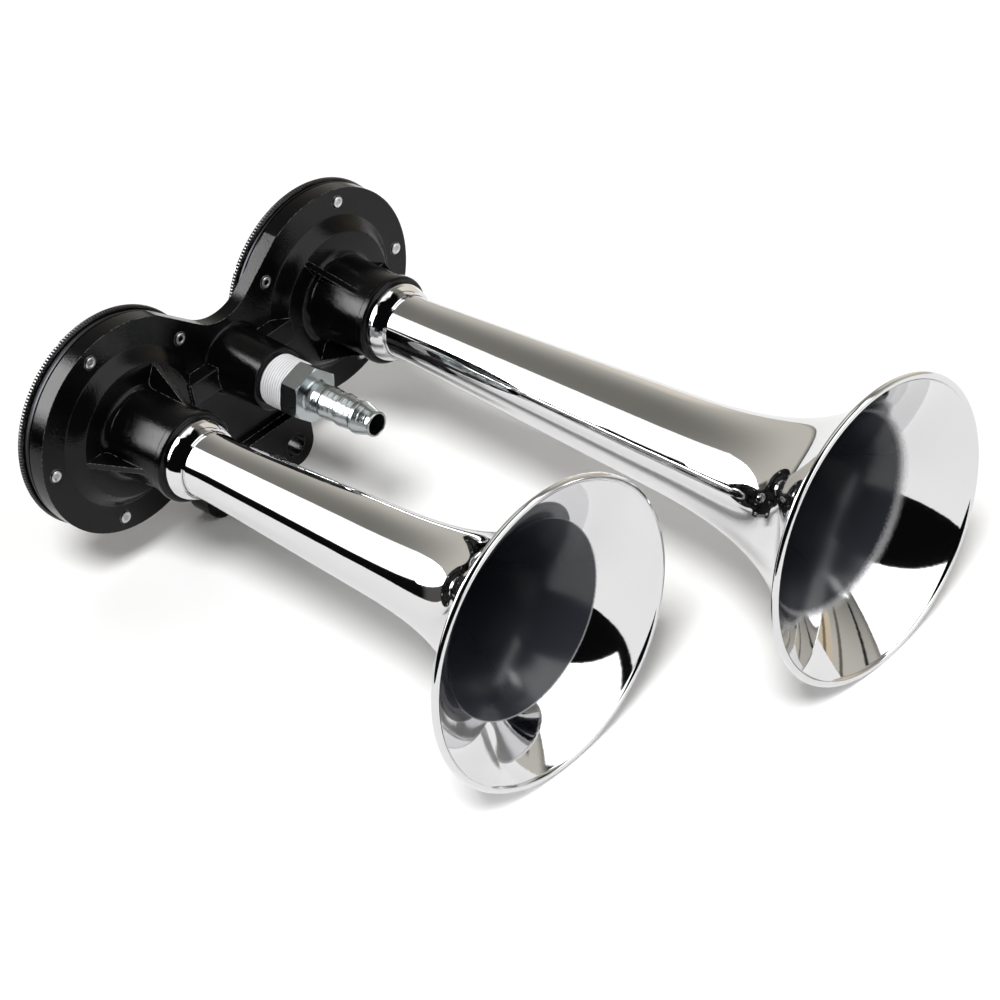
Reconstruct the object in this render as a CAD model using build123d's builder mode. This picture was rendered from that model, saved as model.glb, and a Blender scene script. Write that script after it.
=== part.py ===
"""Twin-trumpet air horn: two chromed trumpets screwed into one die-cast manifold.

Millimetres, +Z up. The trumpets point along -Y. The origin is the middle of the two foot bolt holes,
on the rear face of the foot, which is the face that bolts to a bracket.

Most turned forms are drawn as (r, u): r is the radius from the piece's own axis and u is the distance
in front of the flange face, so u grows along -Y and is negative inside the flange.
"""
from build123d import *

import os
from math import asin, atan2, cos, exp, hypot, pi, radians, sin, sqrt

# ---- manifold: layout ----------------------------------------------------------------------------
chamber_spacing = 96.0
axis_height = 47.2
web_t = 5.6
rim_t = 6.6

# ---- manifold: diaphragm chambers ----------------------------------------------------------------
flange_r = 39.0
flange_round = 1.2
flange_edge = 0.4
flange_ledge = 10.0
cone_run = 4.7
cone_h = 4.6
corner_r = 0.8
chamber_wall = 3.2
clamped_land = 10.6
cavity_side_run = 1.6
cavity_rim_depth = 4.4
nozzle_seat_r = 6.0
nozzle_wall = 3.4

# ---- manifold: trumpet necks ---------------------------------------------------------------------
neck_r = 15.4
neck_draft = 0.4
neck_len = 32.5
neck_root_fillet = 2.6
neck_bead_r = 16.1
neck_bead_len = 3.6
neck_lip = 1.2
shoulder_u = 20.0
rib_angles = (60.0, 180.0, 300.0)
rib_t = 2.2
rib_top_u = 23.4
rib_foot_inset = 0.4

# ---- manifold: bridge, inlet boss and air galleries ----------------------------------------------
waist_r = 17.8
waist_gap = 2.2
boss_r = 12.4
boss_draft = 1.0
boss_len = 23.4
boss_root_fillet = 1.4
boss_lip = 0.6
inlet_drill_r = 5.5
inlet_floor = 3.4
inlet_thread_depth = 10.4
gallery_h = 9.0
gallery_u = 5.8
gallery_edge = 0.7
passage_r = 2.2
passage_u = 0.6

# ---- manifold: foot ------------------------------------------------------------------------------
lug_spacing = 35.0
lug_hole_r = 4.25
lug_r = 8.8
foot_t = 9.3
foot_top = 12.3
foot_arch = 4.0
foot_side = 3.6

# ---- diaphragm stack -----------------------------------------------------------------------------
gasket_inset = 1.1
diaphragm_inset = 0.2
gasket_t = 0.5
diaphragm_t = 0.7
packing_t = {"left": 2.0, "right": 0.7}
cover_overhang = 0.4
cover_t = 2.4
cover_edge = 0.4
cover_dome_h = 2.8
cover_dome_slope = 6.0
vent_r = 2.0

# ---- cover screws --------------------------------------------------------------------------------
screw_angles = (36.0, 108.0, 180.0, 252.0, 324.0)
screw_inset = 5.0
screw_r = 2.5
screw_gap = 0.2
screw_tip = 0.4
screw_tip_chamfer = 0.5
screw_head_r = 4.1
screw_head_h = 2.0
screw_head_round = 1.0
recess_len = 4.6
recess_w = 1.0
recess_depth = 1.2

# ---- trumpets and collars ------------------------------------------------------------------------
tube_r = 11.4
tube_wall = 1.0
slope_step = 0.01
tube_straight = 46.0
tube_slope = 0.049
bell_r = 52.3
bead_r = 1.2
trumpet_len = {"left": 193.3, "right": 244.0}
flare_start = {"left": 120.0, "right": 160.0}
flare_scale = {"left": 20.0, "right": 30.0}
flare_points = 7
flare_crowding = 0.75
root_flange_r = 12.8
root_flange_t = 1.2
seal_t = 0.8
collar_r = 14.1
collar_band = 1.5
collar_len = 6.1
collar_nose = 0.8
collar_round = 12.0
thread_gap = 0.05
slip_gap = 0.1

# ---- hose barb fitting ---------------------------------------------------------------------------
fitting_thread_r = 8.4
thread_shown = 9.9
thread_engaged = 6.4
tape_t = 1.0
hex_flats = 18.0
hex_t = 7.8
hex_turn = 17.5
hex_corner_cut = 0.4
hex_corner_run = 0.2
spigot_r = 5.6
spigot_len = 6.0
barb_root_r = 5.1
barb_r = 5.95
barb_rise = 1.0
barb_pitch = 7.2
barb_count = 3
spigot_tip_r = 4.5
spigot_tip_len = 2.0
fitting_bore_r = 3.75

# ---- worked out from the sizes above -------------------------------------------------------------
face_y = -web_t
half_spacing = chamber_spacing / 2
chamber_x = {"left": -half_spacing, "right": half_spacing}
cone_foot_r = flange_r - flange_ledge
cone_top_r = cone_foot_r - cone_run
cavity_r = flange_r - clamped_land
cavity_floor_r = cone_top_r - cavity_side_run
cover_r = flange_r + cover_overhang
gasket_r = flange_r - gasket_inset
diaphragm_r = flange_r - diaphragm_inset
screw_circle_r = flange_r - screw_inset
seat_u = -rim_t - gasket_t
packing_u = seat_u - diaphragm_t
cover_u = {side: packing_u - thickness for side, thickness in packing_t.items()}
neck_bore_r = root_flange_r + slip_gap
bead_rise = neck_bead_r - neck_r
bead_u = neck_len - neck_bead_len + bead_rise
waist_reach = flange_r + waist_r + waist_gap
waist_z = sqrt(waist_reach**2 - half_spacing**2)
waist_slope = asin((flange_r + waist_r) / waist_reach) - atan2(waist_z, half_spacing)
mouth_u = {side: length - bead_r for side, length in trumpet_len.items()}
cavity_floor_u = cone_h - chamber_wall
foot_half = lug_spacing / 2 + lug_r
foot_to_chamber = half_spacing - foot_half
fillet_drop = axis_height - foot_side
foot_root_fillet = (foot_to_chamber**2 + fillet_drop**2 - flange_r**2) / (2 * (foot_to_chamber + flange_r))
gallery_half = half_spacing - cone_top_r + rib_foot_inset
hex_u = boss_len + thread_shown


def front_plane(u=0.0):
    """Plane across the horn, u in front of the flange face: local x is +X and local y is +Z."""
    return Plane(origin=(0, face_y - u, 0), x_dir=(1, 0, 0), z_dir=(0, -1, 0))


def axial_plane(x, angle=0.0):
    """Plane through the axis at x: local x runs outward at the given angle and local y is u."""
    out = (cos(radians(angle)), 0, sin(radians(angle)))
    return Plane(origin=(x, face_y, axis_height), x_dir=out, z_dir=(out[2], 0, -out[0]))


def axis_at(x):
    """Turning axis of the chamber, trumpet or boss at x."""
    return Axis(origin=(x, face_y, axis_height), direction=(0, -1, 0))


def mirrored(side, angle):
    """Angle about the chamber axis: the right chamber is the mirror image of the left."""
    return angle if side == "left" else 180.0 - angle


def screw_points(side):
    """Centres of one chamber's cover screws, in front-plane coordinates."""
    turns = [radians(mirrored(side, angle)) for angle in screw_angles]
    return [
        (chamber_x[side] + screw_circle_r * cos(turn), axis_height + screw_circle_r * sin(turn))
        for turn in turns
    ]


def corner(r, u):
    """The vertex of the sketch being drawn that lies at (r, u)."""
    return vertices().sort_by_distance((r, u, 0))[0]


# ---- manifold casting ----------------------------------------------------------------------------
with BuildPart() as manifold:
    # Bridge web with its round waist, and the foot's rear plate, run into both flanges. The root
    # fillets touch the flanges' rims and meet the foot's straight sides at the height foot_side.
    with BuildSketch(front_plane()) as plate:
        with Locations((0, axis_height + waist_z / 2)):
            Rectangle(chamber_spacing, waist_z)
        with Locations((0, axis_height)):
            side_run = 2 * flange_r
            tangent_x = waist_r * sin(waist_slope)
            tangent_z = waist_z - waist_r * cos(waist_slope)
            top_x = tangent_x + side_run * cos(waist_slope)
            top_z = tangent_z + side_run * sin(waist_slope)
            Polygon(
                (-tangent_x, tangent_z), (tangent_x, tangent_z), (top_x, top_z), (-top_x, top_z),
                align=None, mode=Mode.SUBTRACT,
            )
        with Locations((0, axis_height + waist_z)):
            Circle(waist_r, mode=Mode.SUBTRACT)
        with Locations((0, axis_height / 2)):
            Rectangle(2 * foot_half, axis_height)
        with Locations((-half_spacing, axis_height), (half_spacing, axis_height)):
            Circle(flange_r)
        flange_drop = sqrt(flange_r**2 - foot_to_chamber**2)
        foot_corners = [
            corner(-foot_half, axis_height - flange_drop),
            corner(foot_half, axis_height - flange_drop),
        ]
        fillet(foot_corners, foot_root_fillet)
    extrude(amount=-web_t)

    # Foot: a ledge across the web with two round lugs below it.
    with BuildSketch(front_plane(foot_t - web_t)) as foot:
        with Locations((0, foot_top / 2)):
            Rectangle(2 * foot_half, foot_top)
        with Locations((-lug_spacing / 2, 0), (lug_spacing / 2, 0)):
            Circle(lug_r)
        with Locations((0, -lug_r / 2)):
            Rectangle(lug_spacing, lug_r)
        with Locations((0, -lug_r)):
            Ellipse(lug_spacing / 2 - foot_arch, lug_r + foot_arch, mode=Mode.SUBTRACT)
    extrude(amount=-foot_t)

    # Chambers: flange, stepped cone and neck, turned as one profile.
    for side, x in chamber_x.items():
        with BuildSketch(axial_plane(x)) as shell:
            Polygon(
                (0, -rim_t), (flange_r, -rim_t), (flange_r, 0), (cone_foot_r, 0), (cone_top_r, cone_h),
                (neck_r + neck_draft, cone_h), (neck_r, bead_u - bead_rise), (neck_bead_r, bead_u),
                (neck_bead_r, neck_len), (0, neck_len),
                align=None,
            )
            chamfer(corner(flange_r, -rim_t), flange_edge)
            fillet(corner(flange_r, 0), flange_round)
            fillet([corner(cone_foot_r, 0), corner(cone_top_r, cone_h)], corner_r)
            fillet(corner(neck_r + neck_draft, cone_h), neck_root_fillet)
            fillet(corner(neck_bead_r, neck_len), neck_lip)
        revolve(axis=axis_at(x))

        # Three gusset ribs brace each neck against the step of its chamber.
        for angle in rib_angles:
            with BuildSketch(axial_plane(x, mirrored(side, angle))) as rib:
                Polygon(
                    (nozzle_seat_r + nozzle_wall, 0), (cone_top_r - rib_foot_inset, 0),
                    (cone_top_r - rib_foot_inset, cone_h), (neck_r, rib_top_u),
                    (nozzle_seat_r + nozzle_wall, rib_top_u),
                    align=None,
                )
            extrude(amount=rib_t / 2, both=True)

    # Inlet boss, and the two air galleries that run from it into the chambers.
    with BuildSketch(axial_plane(0)) as boss:
        Polygon(
            (0, -web_t), (boss_r + 2 * boss_root_fillet, -web_t), (boss_r + 2 * boss_root_fillet, 0),
            (boss_r, 0), (boss_r - boss_draft, boss_len), (0, boss_len),
            align=None,
        )
        fillet(corner(boss_r, 0), boss_root_fillet)
        fillet(corner(boss_r - boss_draft, boss_len), boss_lip)
    revolve(axis=axis_at(0))
    with BuildSketch(Plane(origin=(0, face_y, axis_height), x_dir=(0, -1, 0), z_dir=(-1, 0, 0))) as gallery:
        with Locations((gallery_u - (gallery_u + web_t) / 2, 0)):
            Rectangle(gallery_u + web_t, gallery_h)
        fillet(gallery.vertices().group_by(Axis.X)[-1], gallery_edge)
    extrude(amount=gallery_half, both=True)

    # Cored spaces: diaphragm cavities round their nozzles, and throats that widen to the trumpets.
    for x in chamber_x.values():
        with BuildSketch(axial_plane(x)) as cavity:
            Polygon(
                (nozzle_seat_r + nozzle_wall, -rim_t), (cavity_r, -rim_t),
                (cavity_r, -rim_t + cavity_rim_depth),
                (cavity_floor_r, cavity_floor_u),
                (nozzle_seat_r + nozzle_wall, cavity_floor_u),
                align=None,
            )
            fillet(corner(cavity_floor_r, cavity_floor_u), corner_r)
        revolve(axis=axis_at(x), mode=Mode.SUBTRACT)
        with BuildSketch(front_plane(-rim_t)) as nozzle:
            with Locations((x, axis_height)):
                Circle(nozzle_seat_r + nozzle_wall)
        extrude(amount=-gasket_t)
        with BuildSketch(axial_plane(x)) as throat:
            Polygon(
                (0, seat_u), (nozzle_seat_r, seat_u), (tube_r - tube_wall, shoulder_u),
                (neck_bore_r, shoulder_u), (neck_bore_r, neck_len), (0, neck_len),
                align=None,
            )
        revolve(axis=axis_at(x), mode=Mode.SUBTRACT)
    with BuildSketch(axial_plane(0)) as inlet:
        Polygon(
            (0, inlet_floor - web_t), (inlet_drill_r, inlet_floor - web_t),
            (inlet_drill_r, boss_len - inlet_thread_depth),
            (fitting_thread_r + thread_gap, boss_len - inlet_thread_depth),
            (fitting_thread_r + thread_gap, boss_len), (0, boss_len),
            align=None,
        )
    revolve(axis=axis_at(0), mode=Mode.SUBTRACT)
    with BuildSketch(Plane(origin=(0, face_y - passage_u, axis_height), z_dir=(1, 0, 0))) as passage:
        Circle(passage_r)
    extrude(amount=gallery_half, both=True, mode=Mode.SUBTRACT)

    # Tapped screw holes through both flanges, and the foot's bolt holes.
    with BuildSketch(front_plane()) as tapped_holes:
        with Locations(*screw_points("left"), *screw_points("right")):
            Circle(screw_r + thread_gap)
    extrude(amount=-rim_t, mode=Mode.SUBTRACT)
    with BuildSketch(front_plane(foot_t - web_t)) as bolt_holes:
        with Locations((-lug_spacing / 2, 0), (lug_spacing / 2, 0)):
            Circle(lug_hole_r)
    extrude(amount=-foot_t, mode=Mode.SUBTRACT)


def trumpet_radius(side, u):
    """Outer radius of a trumpet: straight tube, slow cone, then an exponential flare to the bell."""
    cone = tube_r + tube_slope * max(u - tube_straight, 0.0)
    rise = exp_rise((u - flare_start[side]) / flare_scale[side])
    full_rise = exp_rise((mouth_u[side] - flare_start[side]) / flare_scale[side])
    cone_at_mouth = tube_r + tube_slope * (mouth_u[side] - tube_straight)
    return cone + (bell_r - bead_r - cone_at_mouth) * rise / full_rise


def exp_rise(t):
    """e^t - 1 - t, which leaves t = 0 level and without a kink; nothing before it."""
    return exp(t) - 1 - t if t > 0 else 0.0


def trumpet_slope(side, u):
    """Rise of the outer radius for each millimetre along the axis."""
    return (trumpet_radius(side, u) - trumpet_radius(side, u - slope_step)) / slope_step


def make_collar(x):
    """Screwed collar: a threaded shank in the neck and a rounded head against the neck's mouth."""
    shank_u = shoulder_u + seal_t + root_flange_t
    bore_r = tube_r + slip_gap
    nose_u = neck_len + collar_len
    with BuildPart() as collar:
        with BuildSketch(axial_plane(x)):
            with BuildLine():
                Polyline(
                    (bore_r, nose_u), (bore_r, shank_u), (neck_bore_r - thread_gap, shank_u),
                    (neck_bore_r - thread_gap, neck_len), (collar_r, neck_len),
                    (collar_r, neck_len + collar_band),
                )
                RadiusArc(
                    (collar_r, neck_len + collar_band), (bore_r + collar_nose, nose_u), collar_round
                )
                Line((bore_r + collar_nose, nose_u), (bore_r, nose_u))
            make_face()
        revolve(axis=axis_at(x))
    return collar


def make_trumpet(side):
    """Spun trumpet: root flange, tube, slow cone, flared bell and the rolled bead round its mouth."""
    x = chamber_x[side]
    root_u = shoulder_u + seal_t
    flare_len = mouth_u[side] - flare_start[side]
    flare_us = [
        flare_start[side] + flare_len * (i / (flare_points - 1)) ** flare_crowding
        for i in range(flare_points)
    ]
    outer = [(trumpet_radius(side, u), u) for u in flare_us]
    inner = []
    for r, u in outer:
        slope = trumpet_slope(side, u)
        wall_share = tube_wall / hypot(1, slope)
        inner.append((r - wall_share, u + wall_share * slope))
    mouth_slope = trumpet_slope(side, mouth_u[side])
    with BuildPart() as trumpet:
        with BuildSketch(axial_plane(x)):
            with BuildLine():
                Polyline(
                    (tube_r - tube_wall, root_u), (root_flange_r, root_u),
                    (root_flange_r, root_u + root_flange_t), (tube_r, root_u + root_flange_t),
                    (tube_r, tube_straight), outer[0],
                )
                Spline(*outer, tangents=((tube_slope, 1), (mouth_slope, 1)))
                Line(outer[-1], inner[-1])
                Spline(*inner, tangents=((tube_slope, 1), (mouth_slope, 1)))
                Polyline(inner[0], (tube_r - tube_wall, tube_straight), (tube_r - tube_wall, root_u))
            make_face()
            with Locations(outer[-1]):
                Circle(bead_r)
        revolve(axis=axis_at(x))
    return trumpet


def make_trumpet_seal(x):
    """Flat ring between the trumpet's root flange and the shoulder in the neck."""
    with BuildPart() as seal:
        with BuildSketch(front_plane(shoulder_u)):
            with Locations((x, axis_height)):
                Circle(root_flange_r)
                Circle(tube_r - tube_wall, mode=Mode.SUBTRACT)
        extrude(amount=seal_t)
    return seal


def make_stack_ring(side, outer_r, inner_r, front_u, thickness):
    """Gasket, diaphragm or packing: a flat disc or ring behind the flange, pierced by the screws."""
    with BuildPart() as ring:
        with BuildSketch(front_plane(front_u)):
            with Locations((chamber_x[side], axis_height)):
                Circle(outer_r)
                if inner_r:
                    Circle(inner_r, mode=Mode.SUBTRACT)
            with Locations(*screw_points(side)):
                Circle(screw_r + screw_gap, mode=Mode.SUBTRACT)
        extrude(amount=-thickness)
    return ring


def make_cover(side):
    """Back cover: a thick flange round a shallow dome that gives the diaphragm room to move."""
    x = chamber_x[side]
    front_u = cover_u[side]
    back_u = front_u - cover_t
    dome_r = cavity_r - cover_dome_slope
    with BuildPart() as cover:
        with BuildSketch(axial_plane(x)):
            Polygon(
                (0, front_u - cover_dome_h), (dome_r, front_u - cover_dome_h), (cavity_r, front_u),
                (cover_r, front_u), (cover_r, back_u), (cavity_r, back_u),
                (dome_r, back_u - cover_dome_h), (0, back_u - cover_dome_h),
                align=None,
            )
            chamfer([corner(cover_r, front_u), corner(cover_r, back_u)], cover_edge)
        revolve(axis=axis_at(x))
        with BuildSketch(front_plane(front_u)):
            with Locations(*screw_points(side)):
                Circle(screw_r + screw_gap)
        extrude(amount=-cover_t, mode=Mode.SUBTRACT)
        with BuildSketch(front_plane(front_u)):
            with Locations((x, axis_height - dome_r / 2)):
                Circle(vent_r)
        extrude(amount=-cover_t - cover_dome_h, mode=Mode.SUBTRACT)
    return cover


def make_cover_screw(x, z, head_u):
    """Pan-head screw driven from behind; its chamfered tip shows at the front of the flange."""
    with BuildPart() as screw:
        with BuildSketch(Plane(origin=(x, face_y, z), x_dir=(1, 0, 0), z_dir=(0, 0, -1))):
            Polygon(
                (0, head_u - screw_head_h), (screw_head_r, head_u - screw_head_h),
                (screw_head_r, head_u), (screw_r, head_u), (screw_r, screw_tip), (0, screw_tip),
                align=None,
            )
            chamfer(corner(screw_r, screw_tip), screw_tip_chamfer)
            fillet(corner(screw_head_r, head_u - screw_head_h), screw_head_round)
        revolve(axis=Axis(origin=(x, face_y, z), direction=(0, -1, 0)))
        with BuildSketch(front_plane(head_u - screw_head_h)):
            with Locations((x, z)):
                Rectangle(recess_len, recess_w)
                Rectangle(recess_w, recess_len)
        extrude(amount=recess_depth, mode=Mode.SUBTRACT)
    return screw


def make_hose_barb():
    """Inlet fitting: pipe thread, hexagon and a hose spigot whose barbs grip against pull-off."""
    spigot_u = hex_u + hex_t
    tip_u = spigot_u + spigot_len + barb_count * barb_pitch + spigot_tip_len
    with BuildPart() as fitting:
        with BuildSketch(front_plane(hex_u)):
            with Locations((0, axis_height)):
                RegularPolygon(hex_flats / 2, 6, major_radius=False, rotation=hex_turn)
        extrude(amount=hex_t)
        hex_corner_r = hex_flats / 2 / cos(pi / 6)
        with BuildSketch(axial_plane(0)):
            Polygon(
                (0, hex_u), (hex_corner_r - hex_corner_cut, hex_u), (hex_corner_r, hex_u + hex_corner_run),
                (hex_corner_r, spigot_u - hex_corner_run), (hex_corner_r - hex_corner_cut, spigot_u),
                (0, spigot_u),
                align=None,
            )
        revolve(axis=axis_at(0), mode=Mode.INTERSECT)
        with BuildSketch(front_plane(boss_len - thread_engaged)):
            with Locations((0, axis_height)):
                Circle(fitting_thread_r)
        extrude(amount=thread_engaged + thread_shown)
        barbs = []
        for i in range(barb_count):
            root_u = spigot_u + spigot_len + i * barb_pitch
            barbs += [(barb_root_r, root_u), (barb_r, root_u + barb_rise), (barb_r, root_u + 2 * barb_rise)]
        with BuildSketch(axial_plane(0)):
            Polygon(
                (0, spigot_u), (spigot_r, spigot_u), (spigot_r, spigot_u + spigot_len),
                *barbs, (spigot_tip_r, tip_u - spigot_tip_len), (spigot_tip_r, tip_u), (0, tip_u),
                align=None,
            )
        revolve(axis=axis_at(0))
        with BuildSketch(front_plane(tip_u)):
            with Locations((0, axis_height)):
                Circle(fitting_bore_r)
        extrude(amount=boss_len - thread_engaged - tip_u, mode=Mode.SUBTRACT)
    return fitting


def make_seal_tape():
    """Sealing tape wound on the part of the thread that stands between the boss and the hexagon."""
    with BuildPart() as tape:
        with BuildSketch(front_plane(boss_len)):
            with Locations((0, axis_height)):
                Circle(fitting_thread_r + tape_t)
                Circle(fitting_thread_r + thread_gap, mode=Mode.SUBTRACT)
        extrude(amount=thread_shown)
    return tape


pieces = {"manifold": manifold}
for side, x in chamber_x.items():
    pieces[f"trumpet_{side}"] = make_trumpet(side)
    pieces[f"collar_{side}"] = make_collar(x)
    pieces[f"trumpet_seal_{side}"] = make_trumpet_seal(x)
    pieces[f"gasket_{side}"] = make_stack_ring(side, gasket_r, cavity_r, -rim_t, gasket_t)
    pieces[f"diaphragm_{side}"] = make_stack_ring(side, diaphragm_r, 0, seat_u, diaphragm_t)
    pieces[f"packing_{side}"] = make_stack_ring(side, gasket_r, cavity_r, packing_u, packing_t[side])
    pieces[f"cover_{side}"] = make_cover(side)
    for number, (screw_x, screw_z) in enumerate(screw_points(side), start=1):
        head_u = cover_u[side] - cover_t
        pieces[f"cover_screw_{side}_{number}"] = make_cover_screw(screw_x, screw_z, head_u)
pieces["hose_barb"] = make_hose_barb()
pieces["seal_tape"] = make_seal_tape()

os.makedirs("parts", exist_ok=True)
for name, piece in pieces.items():
    piece.part.label = name
    export_step(piece.part, f"parts/{name}.step")
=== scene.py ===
"""Looks for a twin-trumpet car air horn: chromed trumpets on a gloss black die-cast manifold.

Laid out as an add-on: sizes and colours are properties, each piece or group of pieces has an operator,
and one panel lists them. Metres, +Z up; the trumpets point along -Y, and each turned piece is drawn as
(r, u), where r is the radius from its own axis and u the distance in front of the flange face.
"""
import math

import bpy
import numpy as np
from mathutils import Matrix, Vector


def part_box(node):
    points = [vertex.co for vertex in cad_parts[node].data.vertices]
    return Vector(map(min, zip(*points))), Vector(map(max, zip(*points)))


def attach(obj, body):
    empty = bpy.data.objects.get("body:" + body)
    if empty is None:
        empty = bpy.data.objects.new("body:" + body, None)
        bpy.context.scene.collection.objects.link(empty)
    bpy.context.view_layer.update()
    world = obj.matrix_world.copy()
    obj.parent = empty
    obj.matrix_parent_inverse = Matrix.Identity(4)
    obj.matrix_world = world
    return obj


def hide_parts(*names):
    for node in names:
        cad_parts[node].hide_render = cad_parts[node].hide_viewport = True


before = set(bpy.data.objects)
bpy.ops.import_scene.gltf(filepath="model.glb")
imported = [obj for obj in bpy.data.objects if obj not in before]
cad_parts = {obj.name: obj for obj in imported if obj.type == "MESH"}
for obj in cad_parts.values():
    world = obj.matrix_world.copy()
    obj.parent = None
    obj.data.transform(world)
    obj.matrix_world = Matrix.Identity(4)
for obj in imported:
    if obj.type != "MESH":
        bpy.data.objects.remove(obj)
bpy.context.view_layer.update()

bl_info = {
    "name": "Twin-trumpet air horn",
    "version": (1, 0, 0),
    "blender": (4, 5, 0),
    "location": "View3D > Sidebar > Air horn",
    "description": "Builds the visible pieces, finishes and stage of a twin-trumpet car air horn",
    "category": "Object",
}

MM = 0.001
SKIN_STEP = 0.22 * MM  # longest cell along the fitting's outline
SIDES = ("left", "right")
BODY = "root"
CAST_CREASE = math.radians(34)
TRUMPET_STEPS, COLLAR_STEPS, FITTING_STEPS, POINT_STEPS = 240, 192, 288, 40
STEPS_PER_TOOTH = 6
# CUP_SHADE: how much painted shade the hollow of a screw point away from the inlet gets
KNURL_SHADE, CUP_SHADE = 0.22, 0.35
LAMP_GAIN = 3  # the lamp's brightness over the soft box's
PANEL_ENDS = (-0.152, -0.013), (-0.072, 0.366)
PANEL_RISE, PANEL_FALL = (0.07, 0.10), (0.22, 0.36)
CAMERA_PLACE = Vector((-0.560985, -0.739663, 0.661428))
CAMERA_RIGHT = Vector((0.671339, -0.732724, -0.111443))
CAMERA_UP = Vector((0.505800, 0.343042, 0.791511))


def axis_of(node):
    """x and z of the turning axis of a round CAD node: the middle of its box."""
    low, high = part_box(node)
    return (low.x + high.x) / 2, (low.z + high.z) / 2


AXES = {side: axis_of(f"collar_{side}") for side in SIDES}
AXES["middle"] = ((AXES["left"][0] + AXES["right"][0]) / 2, AXES["left"][1])
FACE_Y = -5.6 * MM  # the flange face, from which u is measured
MOUTH_REACH = {side: FACE_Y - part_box(f"trumpet_{side}")[0].y for side in SIDES}
BELL_RADIUS = (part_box("trumpet_left")[1].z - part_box("trumpet_left")[0].z) / 2
TIP_REACH = FACE_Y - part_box("hose_barb")[0].y
FOOT_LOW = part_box("manifold")[0].z


def length(name, description, default):
    """A length property in metres."""
    return bpy.props.FloatProperty(
        name=name, description=description, default=default, unit="LENGTH", precision=5
    )


def amount(name, description, default):
    """A property that is a plain number."""
    return bpy.props.FloatProperty(name=name, description=description, default=default)


def count(name, description, default):
    """A property that is a whole number."""
    return bpy.props.IntProperty(name=name, description=description, default=default)


def angle(name, description, degrees):
    """An angle property, whose default is given in degrees."""
    return bpy.props.FloatProperty(
        name=name, description=description, default=math.radians(degrees), subtype="ANGLE"
    )


def tint(name, description, default):
    """A colour property, linear red, green and blue."""
    return bpy.props.FloatVectorProperty(
        name=name, description=description, default=default, subtype="COLOR", size=3, min=0.0, max=1.0
    )


class TrumpetSizes(bpy.types.PropertyGroup):
    """Sizes of the spun trumpets and their screwed collars."""

    bell_radius: length("Bell radius", "Outer radius of the rolled bead at the mouth", BELL_RADIUS)
    bead_radius: length("Bead radius", "Radius of the rolled bead's round section", 1.2 * MM)
    tube_radius: length("Tube radius", "Outer radius of the straight tube", 11.4 * MM)
    wall: length("Wall", "Thickness of the trumpet's wall", 1.0 * MM)
    straight_end: length("Straight end", "Where the tube starts to widen, in front of the flange", 46.0 * MM)
    cone_slope: amount("Cone slope", "Rise of radius along the cone", 0.049)
    root_start: length("Root", "Rear face of the trumpet's root flange", 20.8 * MM)
    root_radius: length("Root flange radius", "Radius of the root flange in the neck", 12.8 * MM)
    root_thickness: length("Root flange thickness", "Thickness of the root flange", 1.2 * MM)
    left_flare_start: length("Left flare start", "Where the left bell starts to flare", 120.0 * MM)
    right_flare_start: length("Right flare start", "Where the right bell starts to flare", 160.0 * MM)
    left_flare_scale: length("Left flare scale", "Length over which the left bell grows e-fold", 20.0 * MM)
    right_flare_scale: length("Right flare scale", "Length over which the right bell grows e-fold", 30.0 * MM)
    left_plate_end: length("Left plate end", "Where the chrome ends inside the left bell", 180.6 * MM)
    right_plate_end: length("Right plate end", "Where the chrome ends inside the right bell", 226.8 * MM)
    left_plate_fade: length("Left plate fade", "Half the width of the left plate's edge", 0.3 * MM)
    right_plate_fade: length("Right plate fade", "Half the width of the right plate's edge", 1.9 * MM)
    collar_radius: length("Collar radius", "Outer radius of the collar's head", 14.1 * MM)
    collar_start: length("Collar start", "Mouth of the neck, where the collar's head seats", 32.5 * MM)
    collar_band: length("Collar band", "Straight part of the collar's head", 1.5 * MM)
    collar_length: length("Collar length", "Length of the collar's head", 6.1 * MM)
    collar_nose: length("Collar nose", "Width of the flat nose round the tube", 0.8 * MM)
    collar_round: length("Collar round", "Radius of the head's rounded side", 12.0 * MM)
    shank_radius: length("Shank radius", "Radius of the collar's threaded shank", 12.85 * MM)
    slip_gap: length("Slip gap", "Clearance between the collar and the tube", 0.1 * MM)


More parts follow.
